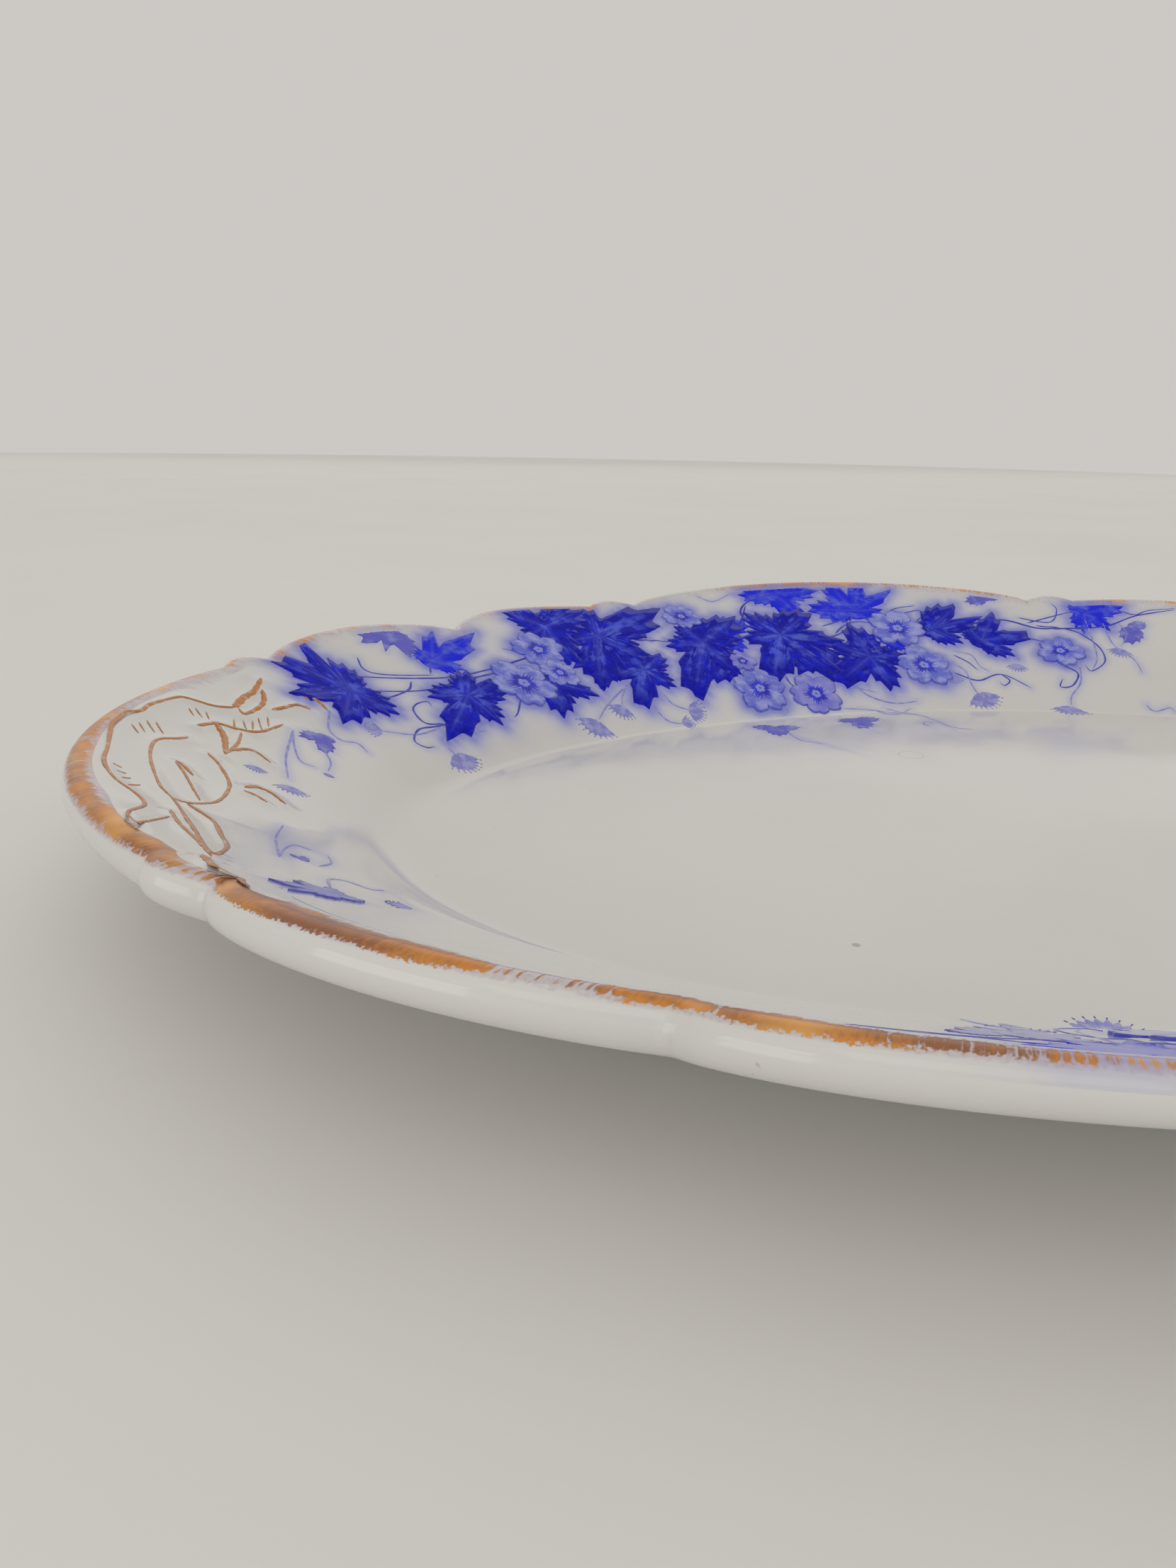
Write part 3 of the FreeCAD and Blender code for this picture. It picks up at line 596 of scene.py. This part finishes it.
class Shade:
    """Short forms for the node trees."""

    def __init__(self, name):
        self.material, self.nodes, self.links, self.out = new_material(name)
        self.place = self.nodes.new("ShaderNodeTexCoord").outputs["Object"]

    def math(self, kind, a, b=None, c=None, clamp=False):
        node = self.nodes.new("ShaderNodeMath")
        node.operation = kind
        node.use_clamp = clamp
        for slot, value in enumerate((a, b, c)):
            if value is None:
                continue
            if isinstance(value, (int, float)):
                node.inputs[slot].default_value = value
            else:
                self.links.new(value, node.inputs[slot])
        return node.outputs[0]

    def ramp(self, value, low, high, flip=False):
        node = self.nodes.new("ShaderNodeMapRange")
        node.interpolation_type = "SMOOTHSTEP"
        self.links.new(value, node.inputs["Value"])
        node.inputs["From Min"].default_value = low
        node.inputs["From Max"].default_value = high
        node.inputs["To Min"].default_value = 1.0 if flip else 0.0
        node.inputs["To Max"].default_value = 0.0 if flip else 1.0
        return node.outputs["Result"]

    def mix(self, factor, a, b):
        node = self.nodes.new("ShaderNodeMix")
        node.data_type = "RGBA"
        for slot, value in (("Factor", factor), ("A", a), ("B", b)):
            target = socket(node.inputs, slot)
            if isinstance(value, (int, float)):
                target.default_value = value
            elif isinstance(value, tuple):
                target.default_value = (*value, 1.0)
            else:
                self.links.new(value, target)
        return socket(node.outputs, "Result")

    def noise(self, scale, detail=3.0, vector=None, rough=0.55):
        node = self.nodes.new("ShaderNodeTexNoise")
        node.inputs["Scale"].default_value = scale
        node.inputs["Detail"].default_value = detail
        node.inputs["Roughness"].default_value = rough
        self.links.new(vector or self.place, node.inputs["Vector"])
        return node.outputs["Fac"]

    def layer(self, name):
        node = self.nodes.new("ShaderNodeAttribute")
        node.attribute_name = name
        parts = self.nodes.new("ShaderNodeSeparateColor")
        self.links.new(node.outputs["Color"], parts.inputs[0])
        return [parts.outputs[0], parts.outputs[1], parts.outputs[2], node.outputs["Alpha"]]

    def bump(self, value, strength, distance):
        node = self.nodes.new("ShaderNodeBump")
        node.inputs["Strength"].default_value = strength
        node.inputs["Distance"].default_value = distance
        self.links.new(value, node.inputs["Height"])
        self.links.new(node.outputs[0], self.out.inputs["Normal"])

    def finish(self, color, rough, metal=None):
        for value, slot in ((color, "Base Color"), (rough, "Roughness"), (metal, "Metallic")):
            if value is None:
                continue
            if isinstance(value, (int, float)):
                self.out.inputs[slot].default_value = value
            elif isinstance(value, tuple):
                self.out.inputs[slot].default_value = (*value, 1.0)
            else:
                self.links.new(value, self.out.inputs[slot])
        self.out.inputs["IOR"].default_value = 1.52
        return self.material


CHINA = (0.69, 0.68, 0.655)
CHINA_DEEP = (0.645, 0.635, 0.61)
COBALT = (0.0005, 0.0005, 0.38)
BLUE = (0.004, 0.012, 0.78)
VIOLET = (0.15, 0.14, 0.58)
HALO = (0.36, 0.375, 0.66)
FLOW = (0.13, 0.155, 0.66)
BLISTER = (-0.0156, 0.0489, 0.007)
SPECK = (-0.0763, -0.0536, 0.007)
GOLD = (0.50, 0.20, 0.05)
LIP_GOLD = (0.74, 0.31, 0.075)
GOLD_WORN = (0.36, 0.155, 0.08)


def china_color(s):
    """Warm grey-white china with faint clouding and stray specks."""
    cloud = s.ramp(s.noise(9.0, 4.0), 0.35, 0.7)
    tint = s.mix(cloud, CHINA, CHINA_DEEP)
    speck = s.ramp(s.noise(420.0, 1.0), 0.80, 0.84)
    return s.mix(s.math("MULTIPLY", speck, 0.5), tint, (0.35, 0.32, 0.28))


def glaze_finish(s):
    """Gloss that varies a little, with the faint ripple of a poured glaze."""
    ripple = s.noise(28.0, 2.0)
    fine = s.noise(900.0, 2.0)
    both = s.math("ADD", ripple, s.math("MULTIPLY", fine, 0.02))
    s.bump(both, 0.10, 0.0012)
    return s.math("ADD", 0.085, s.math("MULTIPLY", s.ramp(s.noise(60.0, 3.0), 0.3, 0.8), 0.06))


def flown_china(s):
    """China with the soft blue halo that the print bled into the glaze."""
    near, line, wide, _ = s.layer("flow")
    base = china_color(s)
    uneven = s.math("ADD", 0.60, s.math("MULTIPLY", s.noise(240.0), 0.55))
    base = s.mix(s.math("MULTIPLY", wide, 0.42), base, HALO)
    base = s.mix(s.math("MULTIPLY", line, 0.50), base, HALO)
    close = s.math("MULTIPLY", s.math("MULTIPLY", near, uneven), 0.90, clamp=True)
    return s.mix(close, base, FLOW)


def china_material():
    """Glazed china with one ring-shaped glaze blister and one dark speck in the well."""
    s = Shade("glazed_china")
    base = flown_china(s)
    marks = ((BLISTER, 0.0027, 0.0031, (0.46, 0.45, 0.43)),
             (SPECK, -1.0, 0.0005, (0.20, 0.18, 0.16)))
    for place, inner, outer, tone in marks:
        gap = s.nodes.new("ShaderNodeVectorMath")
        gap.operation = "DISTANCE"
        s.links.new(s.place, gap.inputs[0])
        gap.inputs[1].default_value = place
        ring = s.math("MULTIPLY", s.ramp(gap.outputs["Value"], inner, inner + 0.0004),
                      s.ramp(gap.outputs["Value"], outer, outer + 0.0004, flip=True))
        base = s.mix(s.math("MULTIPLY", ring, 0.55), base, tone)
    return s.finish(base, glaze_finish(s))


def foot_material():
    """Plain china whose lowest edge has lost its gloss."""
    s = Shade("foot_china")
    base = china_color(s)
    rough = glaze_finish(s)
    low = s.nodes.new("ShaderNodeSeparateXYZ")
    s.links.new(s.place, low.inputs[0])
    worn = s.ramp(low.outputs[2], 0.0003, 0.0012, flip=True)
    base = s.mix(worn, base, s.mix(s.noise(300.0), (0.50, 0.46, 0.40), (0.62, 0.58, 0.52)))
    rough = s.math("ADD", rough, s.math("MULTIPLY", worn, 0.55))
    return s.finish(base, rough)


def leaf_material():
    s = Shade("print_leaf")
    side, share, radius, tone = s.layer("figure")
    wash = s.ramp(s.noise(230.0, 3.0), 0.44, 0.76)
    streak = s.ramp(s.noise(700.0, 2.0), 0.4, 0.7)
    dark = s.mix(s.math("MULTIPLY", wash, 0.75), COBALT, BLUE)
    middle = s.mix(wash, BLUE, (0.12, 0.16, 0.72))
    pale = s.mix(wash, VIOLET, HALO)
    flowed = s.nodes.new("ShaderNodeCombineXYZ")
    spread = s.nodes.new("ShaderNodeSeparateXYZ")
    s.links.new(s.place, spread.inputs[0])
    s.links.new(s.math("MULTIPLY", side, 2.6), flowed.inputs[0])
    s.links.new(s.math("MULTIPLY", radius, 2.4), flowed.inputs[1])
    s.links.new(s.math("MULTIPLY", spread.outputs[0], 90.0), flowed.inputs[2])
    water = s.math("ADD", s.math("MULTIPLY", s.noise(1.0, 3.0, flowed.outputs[0]), 0.5),
                   s.math("MULTIPLY", s.noise(240.0, 3.0), 0.5))
    watery = s.math("MULTIPLY", s.ramp(water, 0.48, 0.60), s.ramp(share, 0.30, 1.0, flip=True))
    dark = s.mix(s.math("MULTIPLY", watery, 0.72), dark, (0.12, 0.17, 0.80))
    base = s.mix(s.ramp(tone, 0.1, 0.5), dark, middle)
    base = s.mix(s.ramp(tone, 0.5, 0.95), base, pale)
    vein = s.ramp(side, 0.03, 0.13, flip=True)
    slant = s.math("SUBTRACT", radius, s.math("MULTIPLY", side, 0.24))
    chevron = s.math("SINE", s.math("MULTIPLY", slant, 58.0))
    small = s.math("MULTIPLY", s.ramp(chevron, 0.72, 1.0), 0.45)
    lines = s.math("MULTIPLY", s.math("MAXIMUM", vein, small),
                   s.ramp(share, 0.60, 0.95, flip=True))
    glow = s.math("MULTIPLY", s.ramp(side, 0.0, 0.65, flip=True),
                  s.ramp(share, 0.25, 0.95, flip=True))
    base = s.mix(s.math("MULTIPLY", glow, 0.30), base, (0.06, 0.08, 0.62))
    base = s.mix(s.math("MULTIPLY", lines, 0.14), base, (0.16, 0.20, 0.72))
    rim = s.math("MULTIPLY", s.ramp(share, 0.70, 1.0),
                 s.math("ADD", 0.25, s.math("MULTIPLY", streak, 0.6)))
    base = s.mix(s.math("MULTIPLY", rim, 0.40), base, (0.06, 0.07, 0.56))
    s.out.inputs["Specular IOR Level"].default_value = 0.06
    return s.finish(base, glaze_finish(s))


def flower_material():
    s = Shade("print_flower")
    side, share, _, tone = s.layer("figure")
    wash = s.ramp(s.noise(300.0, 3.0), 0.35, 0.68)
    light = s.mix(wash, (0.13, 0.155, 0.66), (0.34, 0.37, 0.74))
    light = s.mix(s.math("MULTIPLY", s.ramp(tone, 0.6, 1.0), 0.35), light, (0.27, 0.22, 0.66))
    s.out.inputs["Specular IOR Level"].default_value = 0.25
    rays = s.ramp(s.math("SINE", s.math("MULTIPLY", side, 30.0)), 0.2, 1.0)
    reach = s.math("ADD", 0.42, s.math("MULTIPLY", rays, 0.20))
    inner = s.math("SUBTRACT", 1.0, s.math("DIVIDE", share, reach), clamp=True)
    core = s.math("MULTIPLY", s.ramp(inner, 0.0, 0.30), 0.92)
    base = s.mix(core, light, s.mix(wash, COBALT, BLUE))
    seam = s.math("MULTIPLY", s.ramp(side, 0.80, 1.0), s.ramp(share, 0.3, 0.5))
    base = s.mix(s.math("MULTIPLY", seam, 0.75), base, BLUE)
    edge = s.ramp(share, 0.90, 0.98)
    base = s.mix(s.math("MULTIPLY", edge, 0.60), base, (0.05, 0.06, 0.52))
    crown = s.ramp(share, 0.15, 0.21, flip=True)
    base = s.mix(s.math("MULTIPLY", crown, 0.85), base, (0.30, 0.34, 0.74))
    dot = s.ramp(share, 0.03, 0.07, flip=True)
    base = s.mix(s.math("MULTIPLY", dot, 0.7), base, BLUE)
    return s.finish(base, glaze_finish(s))


def line_material():
    s = Shade("print_line")
    side, _, _, tone = s.layer("figure")
    wash = s.ramp(s.noise(500.0, 3.0), 0.36, 0.66)
    dark = s.mix(wash, (0.006, 0.008, 0.34), (0.02, 0.03, 0.46))
    pale = s.mix(wash, (0.22, 0.22, 0.60), (0.36, 0.36, 0.66))
    s.out.inputs["Specular IOR Level"].default_value = 0.3
    base = s.mix(s.ramp(tone, 0.35, 1.0), dark, pale)
    soft = s.math("MULTIPLY", s.ramp(side, 0.5, 1.0), 0.35)
    base = s.mix(soft, base, (0.36, 0.37, 0.72))
    return s.finish(base, glaze_finish(s))


def gold_material():
    s = Shade("traced_gold")
    rub = s.ramp(s.noise(520.0, 4.0), 0.52, 0.74)
    patch = s.ramp(s.noise(90.0, 3.0), 0.45, 0.75)
    base = s.mix(patch, GOLD, (0.58, 0.27, 0.11))
    base = s.mix(s.math("MULTIPLY", rub, 0.7), base, (0.66, 0.56, 0.50))
    metal = s.math("SUBTRACT", 0.85, s.math("MULTIPLY", rub, 0.7))
    rough = s.math("ADD", 0.26, s.math("MULTIPLY", patch, 0.18))
    s.bump(s.noise(700.0, 3.0), 0.25, 0.0002)
    return s.finish(base, rough, metal)


def gilding_material():
    """Worn lip gilding: gold rubbed through to china with a lilac fringe."""
    s = Shade("lip_gilding_worn")
    across, amount, lilac, angle = s.layer("lip")
    stretch = s.nodes.new("ShaderNodeCombineXYZ")
    s.links.new(s.math("MULTIPLY", angle, 1800.0), stretch.inputs[0])
    s.links.new(s.math("MULTIPLY", across, 3.0), stretch.inputs[1])
    hatch = s.noise(1.0, 3.0, stretch.outputs[0])
    blotch = s.noise(130.0, 4.0)
    field = s.math("ADD", s.math("MULTIPLY", hatch, 1.35), blotch)
    level = s.math("ADD", across, s.math("MULTIPLY", amount, 0.9))
    total = s.math("ADD", field, level)
    gold = s.ramp(total, 2.34, 2.58)
    edge = s.ramp(across, 0.02, 0.30)
    gold = s.math("MULTIPLY", gold, edge)
    fringe = s.math("MULTIPLY", s.math("MULTIPLY", s.ramp(total, 1.75, 2.40), lilac),
                    s.ramp(across, 0.20, 0.62))
    base = flown_china(s)
    base = s.mix(s.math("MULTIPLY", fringe, 0.62), base, (0.40, 0.26, 0.34))
    thin = s.math("ADD", blotch, s.math("MULTIPLY", hatch, 0.5))
    metalcolor = s.mix(s.ramp(thin, 0.60, 0.95), GOLD_WORN, LIP_GOLD)
    metalcolor = s.mix(s.ramp(s.noise(60.0, 2.0), 0.45, 0.7), metalcolor, (0.88, 0.46, 0.14))
    base = s.mix(gold, base, metalcolor)
    scratched = s.math("ADD", 0.12, s.math("MULTIPLY", hatch, 0.3))
    rough = s.math("ADD", 0.08, s.math("MULTIPLY", gold, scratched))
    s.bump(s.math("MULTIPLY", gold, hatch), 0.12, 0.0002)
    return s.finish(base, rough, s.math("MULTIPLY", gold, 0.85))


LEAF_MAT, FLOWER_MAT = leaf_material(), flower_material()
LINE_MAT, GOLD_MAT = line_material(), gold_material()

# ------------------------------------------------------------------- print
SPRAYS = [
    ("far", 0.0, False, 0.0, 400.0),
    ("near", 180.0, False, 0.0, 400.0),
    ("near_left", 0.0, True, 148.0, 163.0),
    ("far_right", 180.0, True, 148.0, 163.0),
]
LIP_LEAF = (62.6, 0.66, [(-90, 17), (-62, 10), (-118, 10), (-30, 5.5), (-150, 5.5)])


def turned(angle, turn, mirrored):
    angle = -angle if mirrored else angle
    return angle + turn


for label, turn, mirrored, first, last in SPRAYS:
    leaves, flowers, lines = Patchwork(), Patchwork(), Patchwork()
    for order, (tone, angle, fraction, tips) in enumerate(LEAVES):
        if first <= angle % 360.0 <= last:
            if mirrored:
                tips = [(way, SMALL_LEAF * length) for way, length in tips]
                angle += SMALL_SHIFT
            above = 0.000008 * ((len(LEAVES) - order) if tone == "d" else 0)
            leaf(leaves, "p" if mirrored else tone, turned(angle, turn, mirrored), fraction,
                 tips, PRINT_LIFT + above, mirrored)
    if label == "near":
        leaf(leaves, "p", LIP_LEAF[0] + turn, LIP_LEAF[1], LIP_LEAF[2], PRINT_LIFT, False)
    for order, (tone, angle, fraction, radius) in enumerate(FLOWERS):
        if first <= angle % 360.0 <= last:
            flower(flowers, tone, turned(angle, turn, mirrored), fraction, radius,
                   FLOWER_LIFT + 0.00001 * order)
    for tone, width, points in STEMS:
        if first <= points[0][0] % 360.0 <= last:
            places = [(turned(a, turn, mirrored), f) for a, f in points]
            path = plan_path(places, False)
            LINE_POINTS.append(ribbon(lines, path, width * STEM_WIDTH, TONES[tone], LINE_LIFT))
    for angle, fraction, way, size in UMBELS:
        if first <= angle % 360.0 <= last:
            umbel(lines, turned(angle, turn, mirrored), fraction,
                  180.0 - way if mirrored else way, size, LINE_LIFT)
    leaves.piece("print_leaves_" + label, LEAF_MAT)
    if flowers.verts:
        flowers.piece("print_flowers_" + label, FLOWER_MAT)
    lines.piece("print_stems_" + label, LINE_MAT)

# ----------------------------------------------------------- platter body
scroll_angles = [float(border_place(np.array([x]), np.array([y]))[0][0]) for x, y in SCROLLS]


def wants_detail(angle):
    """More columns across the end cartouches and the flange scrolls."""
    end = min(angle % 180.0, 180.0 - angle % 180.0)
    gaps = [abs((angle - a + 180.0) % 360.0 - 180.0) for a in scroll_angles]
    return end < 34.0 or min(gaps) < 4.0


angles = np.array([0.3 * k for k in range(1200) if k % 2 == 0 or wants_detail(0.3 * k)])
COLUMNS = len(angles)
edge = lip_fraction(angles)


def ring_points(fraction, drop=0.0):
    x, y = plan(angles, fraction)
    z = FLOOR_TOP + rise(SPAN * np.clip(fraction, 0.0, None)) - drop
    return np.stack([x, y, z], -1)


def moulded(points, fade):
    """Adds the end cartouches' relief to points of the upper face."""
    height = relief(points[:, 0], points[:, 1]) * fade
    return points + np.column_stack([np.zeros(len(points)), np.zeros(len(points)), height])


def facing(low, high):
    """Unit directions from one ring to the next, and square off the face."""
    way = (high - low) / np.linalg.norm(high - low, axis=1)[:, None]
    flat = way * np.array([1.0, 1.0, 0.0])
    flat /= np.linalg.norm(flat, axis=1)[:, None]
    up = np.column_stack([-flat[:, :2] * way[:, 2:3], np.sqrt(1 - way[:, 2] ** 2)])
    return way, up


def scalloped(share):
    """Ring fraction that blends from the plain well to the scalloped lip."""
    return share * (1.0 - (1.0 - edge) * share ** 1.5)


ALONG, UP = facing(ring_points(edge - 0.01), ring_points(edge))


def roll(degrees, extra=0.0):
    """Points of the rounded lip, from its crown (90) to its underside (-90)."""
    centre = ring_points(edge) - UP * (LIP / 2)
    turn = math.radians(degrees)
    return centre + (ALONG * math.cos(turn) + UP * math.sin(turn)) * (LIP / 2 + extra)


WELL_STEPS = (0.05, 0.3, 0.55, 0.75, 0.85, 0.89, 0.92, 0.95, 0.98)
top_rows = [ring_points(np.full(COLUMNS, 0.0)) * np.array([s, s, 1.0]) for s in WELL_STEPS]
for share in np.concatenate([np.linspace(0, 0.32, 17), np.linspace(0.335, 1.0, 46)]):
    row = ring_points(scalloped(share))
    top_rows.append(moulded(row, min(share / 0.1, 1.0) * min((1.0 - share) / 0.06, 1.0)))
roll_rows = [roll(d) for d in (70, 50, 30, 10, -10, -30, -50, -70)]
under_rows = []
for share in np.concatenate([np.linspace(1.0, 0.36, 10), np.linspace(0.33, 0.0, 10)]):
    thick = FLOOR_THICK + (WALL - FLOOR_THICK) * min(share / 0.3, 1.0)
    thick += (LIP - WALL) * max(share - 0.8, 0.0) / 0.2
    low = ring_points(scalloped(share))
    _, up = facing(low, ring_points(scalloped(share) + 0.01))
    under_rows.append(low - up * thick)
under_rows += [ring_points(np.full(COLUMNS, 0.0), FLOOR_THICK) * np.array([s, s, 1.0])
               for s in (0.9, 0.6, 0.3, 0.04)]
rows = top_rows + roll_rows + under_rows
centres = np.array([[0, 0, FLOOR_TOP], [0, 0, FLOOR_TOP - FLOOR_THICK]])
verts = np.vstack(rows + [centres])
faces = rows_to_faces(len(rows), COLUMNS, True)
top_centre, low_centre = len(verts) - 2, len(verts) - 1
last = (len(rows) - 1) * COLUMNS
for c in range(COLUMNS):
    d = (c + 1) % COLUMNS
    faces.append((top_centre, d, c))
    faces.append((low_centre, last + c, last + d))
faces = [face[::-1] for face in faces]


def nearest_tree(groups):
    cloud = np.vstack(groups)
    tree = KDTree(len(cloud))
    for index, (px, py) in enumerate(cloud):
        tree.insert((px, py, 0.0), index)
    tree.balance()
    return tree


SHAPE_TREE, LINE_TREE = nearest_tree(SHAPE_POINTS), nearest_tree(LINE_POINTS)


def halo(points):
    """Strength of the flown blue: close to figures, to lines, and wide."""
    flow = np.zeros((len(points), 3))
    for index, point in enumerate(points):
        spot = (point[0], point[1], 0.0)
        gap = SHAPE_TREE.find(spot)[2]
        flow[index] = (math.exp(-(gap / FLOW_NEAR) ** 2),
                       math.exp(-(LINE_TREE.find(spot)[2] / FLOW_LINE) ** 2),
                       math.exp(-(gap / FLOW_WIDE) ** 2))
    return flow


flow = np.zeros((len(verts), 3))
lower, upper = 3 * COLUMNS, (len(top_rows) + 2) * COLUMNS
flow[lower:upper] = halo(verts[lower:upper])
china = make_piece("china_body", verts, faces, china_material(), {"flow": flow})
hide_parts("platter_body", "end_relief_left", "end_relief_right",
            "flange_scroll_far_left", "flange_scroll_far_right",
            "flange_scroll_near_left", "flange_scroll_near_right")

# ------------------------------------------------------------- lip gilding
BAND = 0.0062
REACH = border_reach(angles)
lip_rows = [ring_points(edge - 1.03 * BAND / REACH) - UP * 0.00004]
lip_across = [0.0]
for share in np.linspace(1.0, 0.0, 12):
    lift = 0.00003 + 0.00004 * (1.0 - share)
    lip_rows.append(ring_points(edge - share * BAND / REACH) + UP * lift)
    lip_across.append(1.0 - share)
for degrees, level in ((70, 1.0), (52, 0.92), (36, 0.52), (22, 0.0), (10, 0.0)):
    lip_rows.append(roll(degrees, 0.00006))
    lip_across.append(level)
lip_rows.append(roll(2, -0.00006))
lip_across.append(0.0)
ROLL_ENDS = (0.95, 1.0, 0.95, 0.80, 0.45, 0.0)
across = np.repeat(lip_across, COLUMNS)
place = np.tile(angles, len(lip_rows))
folded = np.abs((place + 180) % 360 - 180)
folded = np.minimum(folded, 180 - folded)
end_lobe = np.exp(-(folded / 26.0) ** 4)
near = ((place % 360) > 190) & ((place % 360) < 350)
WEAR_AT = [0, 20, 26, 34, 50, 54, 60, 68, 72, 96, 101, 110, 117, 128, 132, 146, 152, 158,
           168, 180, 188, 197, 206, 208, 210, 212, 218, 223, 225, 227, 230, 232, 234, 238,
           241, 243, 248, 262, 270, 284, 300, 318, 330, 345, 360]
WEAR_IS = [.62, .5, .38, .45, .10, .30, .42, .12, .34, .44, .22, .12, .34, .10, .26, .34,
           .22, .30, .40, .52, .52, .58, .85, .30, .62, .92, 1.0, .86, .30, .28, .66, .40,
           .85, .66, .62, .34, .40, .55, .30, .55, .5, .3, .55, .50, .58]
amount = np.interp(place % 360.0, WEAR_AT, WEAR_IS)
lilac = np.clip(0.45 + 0.55 * end_lobe + 0.15 * near, 0, 1)
inner_rows = len(lip_rows) - len(ROLL_ENDS)
inner = slice(0, inner_rows * COLUMNS)
across[inner] *= 0.90 - 0.20 * end_lobe[inner]
for step, level in enumerate(ROLL_ENDS):
    row = slice((inner_rows + step) * COLUMNS, (inner_rows + step + 1) * COLUMNS)
    across[row] += (level - across[row]) * end_lobe[row]
lip_data = np.column_stack([across, np.clip(amount, 0, 1), lilac, place / 360.0])
lip_verts = np.vstack(lip_rows)
gilding = make_piece("gilded_lip", lip_verts,
                     [face[::-1] for face in rows_to_faces(len(lip_rows), COLUMNS, True)],
                     gilding_material(), {"lip": lip_data, "flow": halo(lip_verts)})
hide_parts("lip_gilding")

# ------------------------------------------ gilded lines of the cartouches
for side, is_turned in (("left", False), ("right", True)):
    gold = Patchwork()
    for width, points in GOLD_LINES:
        path = plan_path(points, is_turned, 0.0005)
        ribbon(gold, path, width * GOLD_WIDTH, 0.0, GOLD_LIFT, taper=0.45)
    gold.piece("traced_gold_" + side, GOLD_MAT)

# foot ring keeps its CAD shape
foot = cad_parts["foot_ring"]
foot.data.materials.clear()
foot.data.materials.append(foot_material())

# ------------------------------------------------------- floor and lighting
floor_mesh = bpy.data.meshes.new("floor")
FLOOR_SIDES, FLOOR_RADIUS = 96, 2.4
corners = [math.tau * k / FLOOR_SIDES for k in range(FLOOR_SIDES)]
floor_mesh.from_pydata(
    [(FLOOR_RADIUS * math.cos(a), FLOOR_RADIUS * math.sin(a), 0) for a in corners],
    [], [tuple(range(FLOOR_SIDES))])
floor = bpy.data.objects.new("floor", floor_mesh)
bpy.context.scene.collection.objects.link(floor)
s = Shade("pale_floor")
floor_tint = s.mix(s.noise(6.0, 4.0), (0.77, 0.755, 0.73), (0.83, 0.815, 0.79))
floor_mesh.materials.append(s.finish(floor_tint, 0.75))

world = bpy.data.worlds.new("studio")
bpy.context.scene.world = world
world.use_nodes = True
sky = world.node_tree
spot = sky.nodes.new("ShaderNodeTexCoord").outputs["Generated"]
parts = sky.nodes.new("ShaderNodeSeparateXYZ")
sky.links.new(spot, parts.inputs[0])
toward = sky.nodes.new("ShaderNodeMapRange")
toward.interpolation_type = "SMOOTHSTEP"
sky.links.new(parts.outputs[1], toward.inputs["Value"])
for slot, value in (("From Min", 0.25), ("From Max", -0.75), ("To Min", 0.0), ("To Max", 1.0)):
    toward.inputs[slot].default_value = value
tint = sky.nodes.new("ShaderNodeMix")
tint.data_type = "RGBA"
sky.links.new(toward.outputs["Result"], socket(tint.inputs, "Factor"))
socket(tint.inputs, "A").default_value = (0.60, 0.582, 0.556, 1.0)
socket(tint.inputs, "B").default_value = (0.72, 0.705, 0.68, 1.0)
sky.links.new(socket(tint.outputs, "Result"), sky.nodes["Background"].inputs["Color"])
sky.nodes["Background"].inputs["Strength"].default_value = 1.0

LAMP_COLOR = (1.0, 0.985, 0.96)


def area_light(name, place, aim, size, power):
    lamp = bpy.data.lights.new(name, "AREA")
    lamp.shape = "RECTANGLE"
    lamp.size, lamp.size_y = size
    lamp.energy = power
    lamp.color = LAMP_COLOR
    holder = bpy.data.objects.new(name, lamp)
    holder.location = place
    holder.visible_camera = False
    holder.rotation_euler = (Vector(aim) - Vector(place)).to_track_quat("-Z", "Y").to_euler()
    bpy.context.scene.collection.objects.link(holder)


area_light("top_soft", (0.0, 0.1, 1.3), (0, 0, 0), (1.3, 1.1), 0.4)
area_light("front_top_soft", (-0.2, -1.1, 1.05), (0, -0.1, 0), (1.3, 1.0), 2.1)
area_light("back_soft", (0.25, 1.9, 0.75), (0, 0, 0.05), (3.0, 1.0), 2.0)
area_light("left_soft", (-1.5, -0.7, 0.34), (-0.05, -0.1, 0), (1.2, 0.6), 2.4)

# ------------------------------------------------------------------ camera
YAW, PITCH, TILT = math.radians(-12.21), math.radians(17.32), math.radians(1.18)
EYE, FOCAL_LENGTH = (-0.1547, -0.2119, 0.0863), 27.03
forward = Vector((-math.sin(YAW) * math.cos(PITCH), math.cos(YAW) * math.cos(PITCH),
                  -math.sin(PITCH)))
level = Vector((math.cos(YAW), math.sin(YAW), 0.0))
upright = level.cross(forward)
right = level * math.cos(TILT) + upright * math.sin(TILT)
up = upright * math.cos(TILT) - level * math.sin(TILT)
lens = bpy.data.cameras.new("camera")
lens.lens = FOCAL_LENGTH
lens.sensor_width = 36.0
lens.sensor_fit = "AUTO"
lens.clip_start = 0.01
camera = bpy.data.objects.new("camera", lens)
camera.matrix_world = Matrix((
    (right.x, up.x, -forward.x, EYE[0]),
    (right.y, up.y, -forward.y, EYE[1]),
    (right.z, up.z, -forward.z, EYE[2]),
    (0.0, 0.0, 0.0, 1.0)))
bpy.context.scene.collection.objects.link(camera)
bpy.context.scene.camera = camera
bpy.context.scene.view_settings.view_transform = "Standard"
